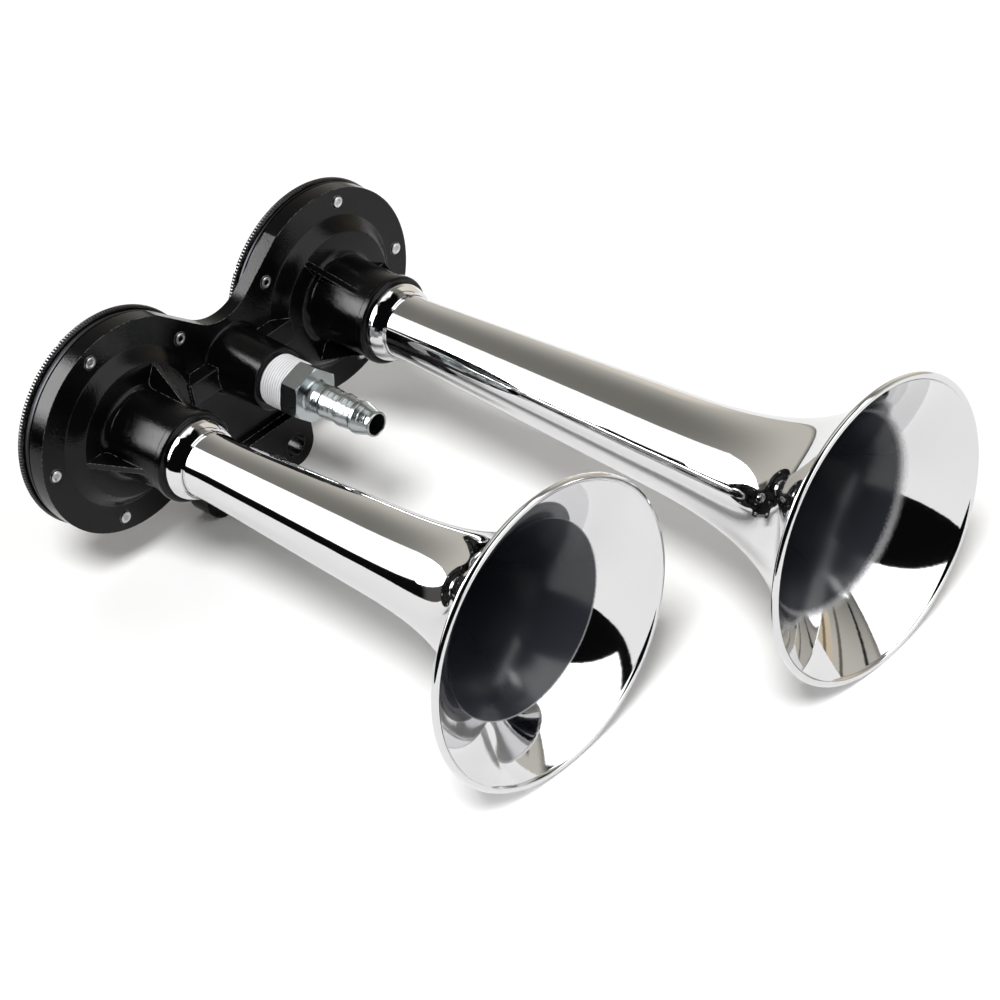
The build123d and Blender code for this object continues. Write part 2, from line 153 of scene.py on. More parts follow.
class FittingSizes(bpy.types.PropertyGroup):
    """Sizes of the inlet fitting, its tape and the knurled cover edges."""

    boss_end: length("Boss end", "Front face of the inlet boss", 23.4 * MM)
    thread_engaged: length("Engaged thread", "Thread inside the boss", 6.4 * MM)
    thread_shown: length("Shown thread", "Thread between the boss and the hexagon", 9.9 * MM)
    thread_radius: length("Thread radius", "Radius of the pipe thread", 8.4 * MM)
    hex_flats: length("Hexagon", "Width across the hexagon's flats", 18.0 * MM)
    hex_thickness: length("Hexagon thickness", "Length of the hexagon along the axis", 7.8 * MM)
    hex_turn: angle("Hexagon turn", "Turn of the hexagon about its axis", 17.5)
    spigot_radius: length("Spigot radius", "Plain part of the hose spigot", 5.6 * MM)
    spigot_length: length("Spigot length", "Length of the plain part", 6.0 * MM)
    barb_root: length("Barb root", "Radius at the foot of each barb", 5.3 * MM)
    barb_crest: length("Barb crest", "Radius at the crest of each barb", 5.95 * MM)
    barb_pitch: length("Barb pitch", "Distance from barb to barb", 7.2 * MM)
    barb_rise: length("Barb rise", "Length over which a barb rises, and then of its crest", 1.0 * MM)
    barb_count: count("Barbs", "Number of barbs", 3)
    tip_radius: length("Tip radius", "Radius of the spigot's tip", 4.5 * MM)
    bore: length("Bore", "Radius of the air passage", 3.75 * MM)
    turning_depth: length("Turning depth", "Height of the ridges on the spigot", 0.045 * MM)
    ridge_pitch: length("Ridge pitch", "Distance between the spigot's ridges", 2.2 * MM)
    mark_pitch: length("Mark pitch", "Distance between the finer tool marks", 0.58 * MM)
    tape_thickness: length("Tape thickness", "Thickness of the wound sealing tape", 1.0 * MM)
    tape_turns: amount("Tape turns", "Turns of tape that show", 9.0)
    lap_step: length("Lap step", "Drop from one lap of tape to the next", 0.26 * MM)
    wrinkle_depth: length("Wrinkle depth", "Depth of the tape's wrinkles", 0.04 * MM)
    knurl_teeth: count("Knurl teeth", "Teeth round a cover's edge", 210)
    knurl_start: length("Knurl start", "Where the teeth start, behind the cover's front", 2.2 * MM)
    knurl_end: length("Knurl end", "Where the teeth end, behind the cover's front", 0.2 * MM)
    knurl_depth: length("Knurl depth", "Height of the teeth on the cover's edge", 0.35 * MM)
    point_radius: length("Point radius", "Radius of a cover screw's rolled point", 2.05 * MM)
    point_height: length("Point height", "How far the rolled point stands off the screw's end", 0.22 * MM)


class FinishColours(bpy.types.PropertyGroup):
    """Base colours of the finishes."""

    paint: tint("Paint", "Gloss black paint on the castings", (0.0018, 0.0017, 0.0020))
    chrome: tint("Chrome", "Chrome plate", (0.80, 0.80, 0.81))
    bare: tint("Bare metal", "Dull metal deep in the bells, where the plate runs out", (0.018, 0.0195, 0.025))
    zinc: tint("Zinc", "Bluish zinc plate on the fitting", (0.50, 0.52, 0.515))
    steel: tint("Steel", "Bright plated screws", (0.74, 0.745, 0.75))
    blued: tint("Blued steel", "Dark spring steel of the diaphragms", (0.030, 0.031, 0.036))
    # Painted edge highlight: the lighter grey that gloss_paint lays on rounded edges, in spots
    painted_edge_highlight: tint("Worn paint", "Thin paint on sharp edges", (0.22, 0.22, 0.225))
    tape: tint("Tape", "Sealing tape", (0.74, 0.74, 0.76))
    rubber: tint("Rubber", "Gaskets and seals", (0.022, 0.022, 0.022))


class StageSettings(bpy.types.PropertyGroup):
    """Floor, light and camera."""

    floor_white: amount("Floor white", "Floor's colour to all other rays", 0.84)
    floor_seen: amount("Floor seen", "Floor's colour to the camera", 0.98)
    floor_back: length("Floor back", "How far the floor reaches behind the horn", 0.24)
    floor_front: length("Floor front", "How far the floor reaches in front of the horn", 1.1)
    floor_left: length("Floor left", "How far the floor reaches to the left", 0.48)
    floor_right: length("Floor right", "How far the floor reaches to the right", 1.3)
    softbox: amount("Soft boxes", "Brightness of the soft boxes in front and at the back", 2.0)
    overhead: amount("Overhead", "Brightness of the overhead soft box", 1.3)
    held_back: amount("Held back", "Share of the room's light kept off dull surfaces", 0.2)
    key: amount("Key", "Strength of the key light", 2.85)
    key_turn: angle("Key turn", "How far left of straight ahead the key light stands", 53)
    key_rise: angle("Key rise", "How high the key light stands", 59)
    key_width: angle("Key width", "Apparent width of the key light", 18)
    panel: amount("Panel", "Brightness of the left light panel's middle", 13.0)
    panel_edge: amount("Panel edge", "Brightness of the panel's top and foot", 1.3)
    lens: amount("Lens", "Focal length of the camera, mm", 114.57)


SIZE_GROUPS = {
    "horn_trumpets": TrumpetSizes,
    "horn_fitting": FittingSizes,
    "horn_colours": FinishColours,
    "horn_stage": StageSettings,
}


# ---- shader maths ----------------------------------------------------------------------------------


class Value:
    """A socket that Python's arithmetic works on: each operator adds one Math node."""

    def __init__(self, shop, socket):
        self.shop = shop
        self.socket = socket

    def maths(self, operation, *terms):
        return self.shop.node("ShaderNodeMath", {"operation": operation}, dict(enumerate(terms)))

    def __add__(self, other):
        return self.maths("ADD", self, other)

    def __sub__(self, other):
        return self.maths("SUBTRACT", self, other)

    def __mul__(self, other):
        return self.maths("MULTIPLY", self, other)

    def __rsub__(self, other):
        return self.maths("SUBTRACT", other, self)

    def __neg__(self):
        return self.maths("MULTIPLY", self, -1.0)

    __radd__ = __add__


class Shop:
    """One node tree, and the single way that nodes are added to it."""

    def __init__(self, tree):
        self.tree = tree

    def node(self, kind, settings=None, values=None, out=0):
        """Adds a node: its settings first, then the values or links of its sockets; gives one output."""
        made = self.tree.nodes.new(kind)
        for key, setting in (settings or {}).items():
            setattr(made, key, setting)
        for key, value in (values or {}).items():
            if isinstance(value, Value):
                self.tree.links.new(value.socket, made.inputs[key])
            else:
                made.inputs[key].default_value = value
        return Value(self, made.outputs[out]) if made.outputs else made

    def object_place(self, stretch=(1.0, 1.0, 1.0)):
        """Object coordinates, stretched."""
        place = self.node("ShaderNodeTexCoord", out="Object")
        return self.node("ShaderNodeVectorMath", {"operation": "MULTIPLY"}, {0: place, 1: stretch})

    def along(self, place, axis):
        """One coordinate of a place: axis 0 is x, 1 is y and 2 is z."""
        return self.node("ShaderNodeSeparateXYZ", None, {0: place}, out=axis)

    def ray_is(self, kind):
        """1 where the ray is of this kind, else 0."""
        return self.node("ShaderNodeLightPath", out=kind)

    def carried(self, name):
        """A number that the mesh carries at its points."""
        return self.node("ShaderNodeAttribute", {"attribute_name": name}, out=2)

    def noise(self, place, scale, detail=2.0, roughness=0.5):
        """Noise between 0 and 1 at a place."""
        values = {"Vector": place, "Scale": scale, "Detail": detail, "Roughness": roughness}
        return self.node("ShaderNodeTexNoise", None, values)

    def ramp(self, value, start, end, low=0.0, high=1.0):
        """Smooth step from low to high as the value goes from start to end."""
        return self.node(
            "ShaderNodeMapRange",
            {"interpolation_type": "SMOOTHSTEP"},
            {"Value": value, "From Min": start, "From Max": end, "To Min": low, "To Max": high},
        )

    def blend(self, factor, first, second):
        """Colour that goes from first to second with the factor."""
        return self.node("ShaderNodeMix", {"data_type": "RGBA"}, {0: factor, 6: first, 7: second}, out=2)

    def bump(self, height, depth, normal=None):
        """Normal bent by a height, where a height of 1 stands depth metres proud."""
        values = {"Height": height, "Distance": depth}
        if normal is not None:
            values["Normal"] = normal
        return self.node("ShaderNodeBump", None, values)

    def end(self, shader, kind="ShaderNodeOutputMaterial"):
        """Ends the tree: links its last shader to an output."""
        self.node(kind, None, {"Surface": shader})


def colour(rgb, gain=1.0):
    """Four-part colour from a property or three numbers."""
    return (rgb[0] * gain, rgb[1] * gain, rgb[2] * gain, 1.0)


def new_finish(name):
    """An empty material and its shop."""
    material = bpy.data.materials.new(name)
    material.use_nodes = True
    material.node_tree.nodes.clear()
    return material, Shop(material.node_tree)


def close_finish(shop, sockets):
    """Ends a material with a Principled shader: its sockets are linked, or set where they are constant."""
    shop.end(shop.node("ShaderNodeBsdfPrincipled", None, sockets))


def gloss_paint(name, rgb, edge_highlight_rgb):
    """Gloss black paint on a casting: fine cast grain under the paint and a trace of dust.

    Edges are softened by a bevel. Where the bevel's normal leaves the face's own, a lighter grey is painted
    in spots as an edge highlight. The grain breaks up the edges of highlights into speckle.
    """
    material, shop = new_finish(name)
    place = shop.object_place()
    grain = shop.noise(place, 1700.0, 2.0, 0.6)
    swell = shop.noise(place, 170.0, 2.0)
    dust = shop.ramp(shop.noise(place, 45.0, 5.0, 0.7), 0.45, 0.8)
    soft_edge = shop.node("ShaderNodeBevel", {"samples": 6}, {"Radius": 0.32 * MM})
    face = shop.node("ShaderNodeNewGeometry", out="Normal")
    level = shop.node("ShaderNodeVectorMath", {"operation": "DOT_PRODUCT"}, {0: soft_edge, 1: face}, out=1)
    # Painted edge highlight: lighter grey where the bevel bends the normal, in spots
    painted_edge_highlight = shop.ramp(level, 0.97, 0.82) * shop.ramp(shop.noise(place, 900.0, 3.0), 0.42, 0.58)
    clean = shop.blend(dust, colour(rgb), colour(rgb, 1.6))
    close_finish(
        shop,
        {
            "Base Color": shop.blend(painted_edge_highlight, clean, colour(edge_highlight_rgb)),
            "Roughness": 0.05 + grain * 0.06 + dust * 0.03,
            "Normal": shop.bump(grain * 1.3 + swell, 0.05 * MM, soft_edge),
            "Specular IOR Level": 0.21,
        },
    )
    return material


def chrome_plate(name, rgb, bare_rgb=None):
    """Polished chrome: nearly a mirror, with faint polishing haze and a few fine wipe marks.

    With bare_rgb, the plate gives way to a dull dark metal where the mesh's attribute "bare" passes 0,
    in a speckled line, as deep in a bell that the plating current doesn't reach.
    """
    material, shop = new_finish(name)
    place = shop.object_place()
    haze = shop.noise(place, 60.0, 4.0, 0.6)
    wipes = shop.noise(shop.object_place(stretch=(1.0, 0.12, 1.0)), 900.0, 3.0)
    sockets = {
        "Base Color": shop.blend(haze, colour(rgb), colour(rgb, 0.97)),
        "Roughness": 0.025 + haze * 0.03,
        "Metallic": 1.0,
        "Normal": shop.bump(wipes + haze * 4.0, 0.004 * MM),
        "Specular IOR Level": 0.65,
    }
    if bare_rgb is not None:
        edge = shop.carried("bare") + (shop.noise(place, 2200.0, 2.0) - 0.5) * 1.2
        bare = shop.ramp(edge, -1.0, 1.0)
        sockets["Base Color"] = shop.blend(bare, sockets["Base Color"], colour(bare_rgb))
        sockets["Roughness"] = sockets["Roughness"] + bare * (0.1 + haze * 0.08)
        sockets["Metallic"] = 1.0 - bare
    close_finish(shop, sockets)
    return material


def turned_zinc(name, rgb):
    """Bluish zinc plate on a turned and milled fitting: tool rings along the axis and a fine grain."""
    material, shop = new_finish(name)
    place = shop.object_place()
    rings = shop.noise(shop.object_place(stretch=(0.02, 1.0, 0.02)), 1500.0, 3.0)
    grain = shop.noise(place, 3000.0, 2.0, 0.6)
    cloud = shop.noise(place, 260.0, 3.0)
    cool = colour((rgb[0] * 0.98, rgb[1] * 1.04, rgb[2] * 1.08))
    close_finish(
        shop,
        {
            "Base Color": shop.blend(cloud, colour(rgb, 0.86), cool),
            "Roughness": 0.15 + grain * 0.14,
            "Metallic": 1.0,
            "Normal": shop.bump(rings + grain * 0.7, 0.03 * MM),
        },
    )
    return material


def bright_steel(name, rgb, roughness=0.24, paint_and_shade_name=None):
    """Bright plated steel with a light tumbled grain, darkened by paint in knurl grooves and by painted shade
    in point hollows.
    """
    material, shop = new_finish(name)
    place = shop.object_place()
    grain = shop.noise(place, 1600.0, 3.0, 0.6)
    base = shop.blend(shop.noise(place, 420.0, 2.0), colour(rgb, 0.8), colour(rgb))
    if paint_and_shade_name:
        # Painted shade in the hollows of screw points; on the knurl, paint left in its grooves
        base = shop.blend(shop.carried(paint_and_shade_name), base, colour(rgb, 0.02))
    close_finish(
        shop,
        {
            "Base Color": base,
            "Roughness": roughness + grain * 0.15,
            "Metallic": 1.0,
            "Normal": shop.bump(grain, 0.03 * MM),
        },
    )
    return material


def screw_plate(name, rgb, paint_rgb):
    """Plated screw whose end, in front of the flange face, took the casting's paint."""
    material, shop = new_finish(name)
    place = shop.object_place()
    grain = shop.noise(place, 1600.0, 3.0, 0.6)
    painted = shop.ramp(shop.along(place, 1), FACE_Y, FACE_Y + 0.1 * MM, 1.0, 0.0)
    close_finish(
        shop,
        {
            "Base Color": shop.blend(painted, colour(rgb), colour(paint_rgb)),
            "Roughness": 0.2 + grain * 0.15,
            "Metallic": 1.0 - painted,
            "Normal": shop.bump(grain, 0.03 * MM),
        },
    )
    return material


def tape_film(name, rgb):
    """White sealing tape: a dull waxy film with fine lengthwise pull marks, and painted shade, greyer,
    between its laps.
    """
    material, shop = new_finish(name)
    pulls = shop.noise(shop.object_place(stretch=(0.15, 1.0, 0.15)), 2600.0, 4.0)
    cloud = shop.noise(shop.object_place(), 300.0, 3.0)
    film = shop.blend(cloud, colour(rgb, 0.93), colour(rgb))
    close_finish(
        shop,
        {
            # Painted shade: greyer in the grooves between the laps
            "Base Color": shop.blend(shop.carried("groove"), film, colour(rgb, 0.42)),
            "Roughness": 0.42 + pulls * 0.2,
            "Normal": shop.bump(pulls, 0.04 * MM),
            "Specular IOR Level": 0.35,
        },
    )
    return material


def dull_rubber(name, rgb):
    """Matt black rubber."""
    material, shop = new_finish(name)
    grain = shop.noise(shop.object_place(), 1100.0, 3.0)
    close_finish(
        shop,
        {
            "Base Color": shop.blend(grain, colour(rgb, 0.8), colour(rgb, 1.2)),
            "Roughness": 0.6 + grain * 0.25,
            "Normal": shop.bump(grain, 0.04 * MM),
        },
    )
    return material


# ---- mesh work --------------------------------------------------------------------------------------


def grid_mesh(name, points, crease):
    """Mesh from a grid of points [i, j] that closes on itself both ways; edges sharper than crease stay hard.

    Cell (i, j) is the quad of points (i, j), (i+1, j), (i+1, j+1), (i, j+1), indices taken round the ends.
    """
    rows, columns = points.shape[:2]
    i, j = np.meshgrid(np.arange(rows), np.arange(columns), indexing="ij")
    after_i, after_j = (i + 1) % rows, (j + 1) % columns
    here, after = i * columns, after_i * columns
    quads = np.stack([here + j, after + j, after + after_j, here + after_j], axis=-1)
    mesh = bpy.data.meshes.new(name)
    fill_mesh(mesh, points.reshape(-1, 3), quads.reshape(-1, 4), crease)
    return mesh


def fill_mesh(mesh, points, faces, crease):
    """Puts whole arrays of points and faces into a mesh and shades it smooth up to the crease angle."""
    corners = faces.shape[1]
    mesh.vertices.add(len(points))
    mesh.vertices.foreach_set("co", points.astype(np.float32).ravel())
    mesh.loops.add(faces.size)
    mesh.loops.foreach_set("vertex_index", faces.astype(np.int32).ravel())
    mesh.polygons.add(len(faces))
    mesh.polygons.foreach_set("loop_start", np.arange(0, faces.size, corners, dtype=np.int32))
    mesh.update(calc_edges=True)
    mesh.polygons.foreach_set("use_smooth", np.ones(len(faces), bool))
    mesh.set_sharp_from_angle(angle=crease)
    mesh.validate()


def turned(name, r, u, axis, steps, crease=math.radians(32), carried=None):
    """Surface of revolution about the axis (x, z), from a closed outline.

    r and u are arrays over the outline, or grids over outline and turn: the point at turn a is
    (x + r cos a, FACE_Y - u, z + r sin a). The outline is walked so that the faces point outwards.
    carried holds numbers, along the outline or over outline and turn, kept as the mesh's point attributes.
    """
    r, u = np.atleast_2d(r.T).T, np.atleast_2d(u.T).T
    r, u = np.broadcast_to(r, (len(r), steps)), np.broadcast_to(u, (len(u), steps))
    first_r, first_u = r[:, 0], u[:, 0]
    swept = np.sum(first_r * np.roll(first_u, -1) - np.roll(first_r, -1) * first_u)
    carried = carried or {}
    if swept > 0:
        r, u = r[::-1], u[::-1]
        carried = {key: numbers[::-1] for key, numbers in carried.items()}
    turn = np.linspace(0, 2 * np.pi, steps, endpoint=False)
    depth = np.broadcast_to(FACE_Y - u, r.shape)
    points = np.stack([axis[0] + r * np.cos(turn), depth, axis[1] + r * np.sin(turn)], axis=-1)
    mesh = grid_mesh(name, points, crease)
    for key, numbers in carried.items():
        layer = mesh.attributes.new(key, "FLOAT", "POINT")
        grid = np.broadcast_to(np.atleast_2d(numbers.T).T, r.shape)
        layer.data.foreach_set("value", grid.astype(np.float32).ravel())
    return mesh


def merged_copy(node, crease):
    """Mesh of a CAD node with its loose triangles joined, smooth up to the crease angle."""
    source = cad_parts[node].data
    points = np.empty(len(source.vertices) * 3)
    source.vertices.foreach_get("co", points)
    source.calc_loop_triangles()
    faces = np.empty(len(source.loop_triangles) * 3, np.int32)
    source.loop_triangles.foreach_get("vertices", faces)
    kept, place = np.unique(np.round(points.reshape(-1, 3), 7), axis=0, return_inverse=True)
    faces = place.ravel()[faces].reshape(-1, 3)
    whole = np.all(faces != np.roll(faces, -1, axis=1), axis=1)
    mesh = bpy.data.meshes.new(node + "_skin")
    fill_mesh(mesh, kept, faces[whole], crease)
    return mesh


def place_piece(name, mesh, material, slot, *replaced):
    """Adds a piece to the scene, gives it its finish and lets it ride on the horn."""
    piece = bpy.data.objects.new(name, mesh)
    bpy.context.scene.collection.objects.link(piece)
    mesh.materials.clear()
    mesh.materials.append(material)
    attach(piece, BODY)
    if replaced:
        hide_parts(*replaced)


def dress_node(node, material):
    """Gives a CAD node that stays in view its finish."""
    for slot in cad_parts[node].material_slots:
        slot.link = "OBJECT"
        slot.material = material


# ---- outlines ----------------------------------------------------------------------------------------


def exp_rise(t):
    """e^t - 1 - t for t > 0, else 0: a growth that starts level and without a kink."""
    return np.where(t > 0, np.expm1(t) - t, 0.0)


def trumpet_outline(side, sizes):
    """Closed outline (r, u) of a spun trumpet, and how far past the plate's end each of its points is.

    Outer radius: straight tube, then + slope (u - straight end), then + rise exp_rise((u - start) / scale),
    scaled to reach the bead's centre at the mouth. The inner wall is the outer one moved a wall's
    thickness along its normal. The bead is a circle about the outer wall's end, from wall to wall.
    """
    start = getattr(sizes, f"{side}_flare_start")
    scale = getattr(sizes, f"{side}_flare_scale")
    mouth = MOUTH_REACH[side] - sizes.bead_radius
    rim = sizes.bell_radius - sizes.bead_radius
    cone_rim = sizes.tube_radius + sizes.cone_slope * (mouth - sizes.straight_end)
    gain = (rim - cone_rim) / exp_rise(np.array((mouth - start) / scale))

    def outer(u):
        cone = sizes.tube_radius + sizes.cone_slope * np.maximum(u - sizes.straight_end, 0.0)
        return cone + gain * exp_rise((u - start) / scale)

    def slope(u):
        bend = np.where(u > start, np.expm1(np.maximum(u - start, 0.0) / scale), 0.0)
        return np.where(u > sizes.straight_end, sizes.cone_slope, 0.0) + gain / scale * bend

    end_slope = float(slope(np.array(mouth)))
    lean = math.hypot(1.0, end_slope)
    along = np.array([end_slope, 1.0]) / lean
    across = np.array([1.0, -end_slope]) / lean
    inner_run = math.sqrt(sizes.bead_radius**2 - sizes.wall**2)
    flare = start + (mouth - start) * np.linspace(0, 1, 84) ** 0.8
    tube = np.linspace(sizes.root_start, sizes.straight_end, 6)
    widening = np.linspace(sizes.straight_end, start, 24)
    walk = np.concatenate([tube, widening[1:], flare[1:]])
    inner_u = np.append(walk[walk < mouth - inner_run / lean], mouth - inner_run / lean)
    outer_u = np.append(walk[walk < mouth - sizes.bead_radius / lean], mouth - sizes.bead_radius / lean)
    steep = slope(inner_u)
    share = sizes.wall / np.hypot(1.0, steep)
    inner = np.stack([outer(inner_u) - share, inner_u + share * steep])
    turn = np.linspace(-math.pi + math.atan2(sizes.wall, inner_run), math.pi, 30)[1:-1]
    bead = (
        np.array([[rim], [mouth]])
        + sizes.bead_radius * (np.outer(along, np.cos(turn)) + np.outer(across, np.sin(turn)))
    )
    flange_front = sizes.root_start + sizes.root_thickness
    back = outer_u[::-1]
    back = back[back > flange_front]
    outer_wall = np.stack([outer(back), back])
    flange = np.array(
        [
            [sizes.tube_radius, sizes.root_radius, sizes.root_radius],
            [flange_front, flange_front, sizes.root_start],
        ]
    )
    r, u = np.concatenate([inner, bead, outer_wall, flange], axis=1)
    plated = -9.0
    bare = np.full(len(u), plated)
    inside = slice(0, len(inner_u))
    plate_end, fade = getattr(sizes, f"{side}_plate_end"), getattr(sizes, f"{side}_plate_fade")
    bare[inside] = np.maximum((plate_end - u[inside]) / fade, plated)
    return r, u, bare


def collar_outline(sizes):
    """Closed outline (r, u) of a collar: shank in the neck, a straight band, then an arc down to the nose."""
    bore = sizes.tube_radius + sizes.slip_gap
    shank_end = sizes.root_start + sizes.root_thickness
    nose = sizes.collar_start + sizes.collar_length
    arc_start = np.array([sizes.collar_radius, sizes.collar_start + sizes.collar_band])
    arc_end = np.array([bore + sizes.collar_nose, nose])
    chord = arc_end - arc_start
    half = math.hypot(*chord) / 2
    inward = np.array([-chord[1], chord[0]]) / (2 * half)
    centre = (arc_start + arc_end) / 2 + inward * math.sqrt(sizes.collar_round**2 - half**2)
    first = math.atan2(*(arc_start - centre)[::-1])
    last = math.atan2(*(arc_end - centre)[::-1])
    turn = np.linspace(first, last, 22)
    arc = centre[:, None] + sizes.collar_round * np.stack([np.cos(turn), np.sin(turn)])
    edge = 0.25 * MM
    rest = np.array(
        [
            [bore + 0.15 * MM, nose], [bore, nose - 0.15 * MM], [bore, shank_end],
            [sizes.shank_radius, shank_end], [sizes.shank_radius, sizes.collar_start],
            [sizes.collar_radius - edge, sizes.collar_start],
            [sizes.collar_radius, sizes.collar_start + edge],
        ]
    ).T
    return np.concatenate([arc, rest], axis=1)


def fitting_grid(sizes, steps):
    """Grids r[i, j] and u[i, j] of the inlet fitting: bore, thread, hexagon and barbed spigot in one skin.

    Round parts have r from the outline alone. In the hexagon r is the lesser of the outline and
    flats / (2 cos b), where b is the angle from the nearest flat's middle. On the spigot two waves are
    added: tool marks, 0.3 sin(2 pi u / mark pitch), and narrow ridges,
    ((1 + cos(2 pi u / ridge pitch)) / 2)^4.
    """
    start = sizes.boss_end - sizes.thread_engaged
    hex_back = sizes.boss_end + sizes.thread_shown
    hex_front = hex_back + sizes.hex_thickness
    barbs = hex_front + sizes.spigot_length
    corner = sizes.hex_flats / 2 / math.cos(math.pi / 6)
    cut, run = 0.9 * MM, 0.45 * MM
    outline = [
        (sizes.bore, start), (sizes.thread_radius, start), (sizes.thread_radius, hex_back),
        (sizes.hex_flats / 2 - 0.2 * MM, hex_back), (corner - cut, hex_back), (corner, hex_back + run),
        (corner, hex_front - run), (corner - cut, hex_front), (sizes.hex_flats / 2 - 0.3 * MM, hex_front),
        (sizes.spigot_radius + 0.5 * MM, hex_front), (sizes.spigot_radius, hex_front + 0.5 * MM),
        (sizes.spigot_radius, barbs),
    ]
    for barb in range(sizes.barb_count):
        root = barbs + barb * sizes.barb_pitch
        crest = root + sizes.barb_rise
        outline += [
            (sizes.barb_root, root), (sizes.barb_crest, crest), (sizes.barb_crest, crest + sizes.barb_rise)
        ]
    outline += [
        (sizes.tip_radius, TIP_REACH - 2.0 * MM), (sizes.tip_radius, TIP_REACH - 0.3 * MM),
        (sizes.tip_radius - 0.3 * MM, TIP_REACH), (sizes.bore + 0.2 * MM, TIP_REACH),
        (sizes.bore, TIP_REACH - 0.2 * MM),
    ]
    outline = np.array(outline).T
    spans = np.maximum(np.ceil(np.hypot(*np.diff(outline)) / SKIN_STEP), 1).astype(int)
    spans[outline[1, :-1] < hex_back] = 2
    walk = np.concatenate([k + np.arange(n) / n for k, n in enumerate(spans)] + [[len(spans)]])
    knots = np.arange(outline.shape[1])
    r, u = np.interp(walk, knots, outline[0]), np.interp(walk, knots, outline[1])
    turn = np.linspace(0, 2 * np.pi, steps, endpoint=False)[None, :]
    flat = np.mod(turn - sizes.hex_turn, math.pi / 3) - math.pi / 6
    hexagon = sizes.hex_flats / 2 / np.cos(flat)
    in_hex = ((u >= hex_back) & (u <= hex_front))[:, None]
    grid_r = np.where(in_hex, np.minimum(r[:, None], hexagon), r[:, None])
    on_spigot = (u > hex_front + 1.0 * MM) & (u < TIP_REACH - 0.5 * MM) & (r > sizes.tip_radius - 0.1 * MM)
    ridges = (0.5 + 0.5 * np.cos(2 * np.pi * u / sizes.ridge_pitch)) ** 4
    marks = 0.3 * np.sin(2 * np.pi * u / sizes.mark_pitch) + ridges - 1.3
    grid_r = grid_r + np.where(on_spigot[:, None], sizes.turning_depth * marks[:, None], 0.0)
    return grid_r, np.broadcast_to(u[:, None], grid_r.shape)


def tape_grid(sizes, steps):
    """Grids r and u of wound tape: a helix of shallow steps.

    With f = frac(turns (u - start) / length - a / 2 pi), r falls by a step as 1 - f / 0.12 up to f = 0.12 and
    as ((f - 0.12) / 0.88)^2 after it, less a little where two waves of wrinkles meet; the ends are rounded
    off. The third grid is 1 in the grooves between laps, where the tape's finish paints shade.
    """
    start, end = sizes.boss_end + 0.05 * MM, sizes.boss_end + sizes.thread_shown - 0.05 * MM
    top = sizes.thread_radius + sizes.tape_thickness
    turn = np.linspace(0, 2 * np.pi, steps, endpoint=False)[None, :]
    s = np.linspace(0, 1, 130)[:, None]
    u = start + (end - start) * s
    f = np.mod(sizes.tape_turns * s - turn / (2 * np.pi), 1.0)
    wrinkle = np.sin(7 * turn + 40 * s) * np.sin(11 * turn - 23 * s + 1.3)
    lap = np.where(f < 0.12, 1 - f / 0.12, ((f - 0.12) / 0.88) ** 2)
    r = top - sizes.lap_step * lap - sizes.wrinkle_depth * (1 + wrinkle)
    shoulder = np.minimum(1.0, np.minimum(s, 1 - s) / 0.05)
    r = r - 0.35 * MM * (1 - np.sqrt(1 - (1 - shoulder) ** 2))
    # Mask of painted shade: 1 in the grooves between laps
    groove = np.clip(1.4 - np.minimum(f, 1 - f) / 0.2, 0, 1)
    inner = np.full((1, steps), sizes.thread_radius + 0.05 * MM)
    grid_r = np.concatenate([inner, r, inner])
    ends = np.zeros((1, steps))
    grid_u = np.concatenate([ends + start, np.broadcast_to(u, r.shape), ends + end])
    return grid_r, grid_u, np.concatenate([ends, groove, ends])


def knurl_grid(sizes, low_u, high_u, radius, steps):
    """Grids r and u of a cover's knurled edge: straight teeth, |sin| shaped, that run out at both sides.

    The third grid is 1 down in the grooves, where soot and paint stay, and 0 on the rubbed crests.
    """
    turn = np.linspace(0, 2 * np.pi, steps, endpoint=False)[None, :]
    tooth = np.abs(np.sin(sizes.knurl_teeth * turn / 2)) ** 0.8
    s = np.array([0.0, 0.0, 0.14, 0.3, 0.5, 0.7, 0.86, 1.0, 1.0])[:, None]
    height = np.array([-2.0, -0.6, 0.35, 0.8, 1.0, 0.8, 0.35, -0.6, -2.0])[:, None]
    r = radius + sizes.knurl_depth * np.where(height > 0, height * tooth, height)
    u = low_u + (high_u - low_u) * s
    crest = np.where(height > 0.3, (tooth - 0.72) / 0.2, 0.0)
    return r, np.broadcast_to(u, r.shape), 1.0 - np.clip(crest, 0.0, 1.0)


def point_outline(sizes, front):
    """Closed outline (r, u) of a screw's rolled point, a ring round a shallow hollow, and the mask of painted
    shade in that hollow.
    """
    rim, foot, top = sizes.point_radius, front - 0.05 * MM, front + sizes.point_height
    r = np.array([0.01 * MM, rim, rim, rim - 0.25 * MM, rim - 0.75 * MM, rim - 1.1 * MM, 0.01 * MM])
    u = np.array([foot, foot, front, top, top, front + 0.04 * MM, front + 0.04 * MM])
    return r, u, np.array([0.0, 0.0, 0.0, 0.0, 0.0, 1.0, 1.0])


# ---- operators ---------------------------------------------------------------------------------------


class HORN_OT_stage(bpy.types.Operator):
    """Lay the pale floor, light the room and set up the camera"""

    bl_idname = "horn.stage"
    bl_label = "Stage"

    def execute(self, context):
        settings = context.scene.horn_stage
        build_floor(settings)
        light_room(settings)
        hang_panel(settings)
        hang_key(settings)
        aim_camera(settings)
        return {"FINISHED"}


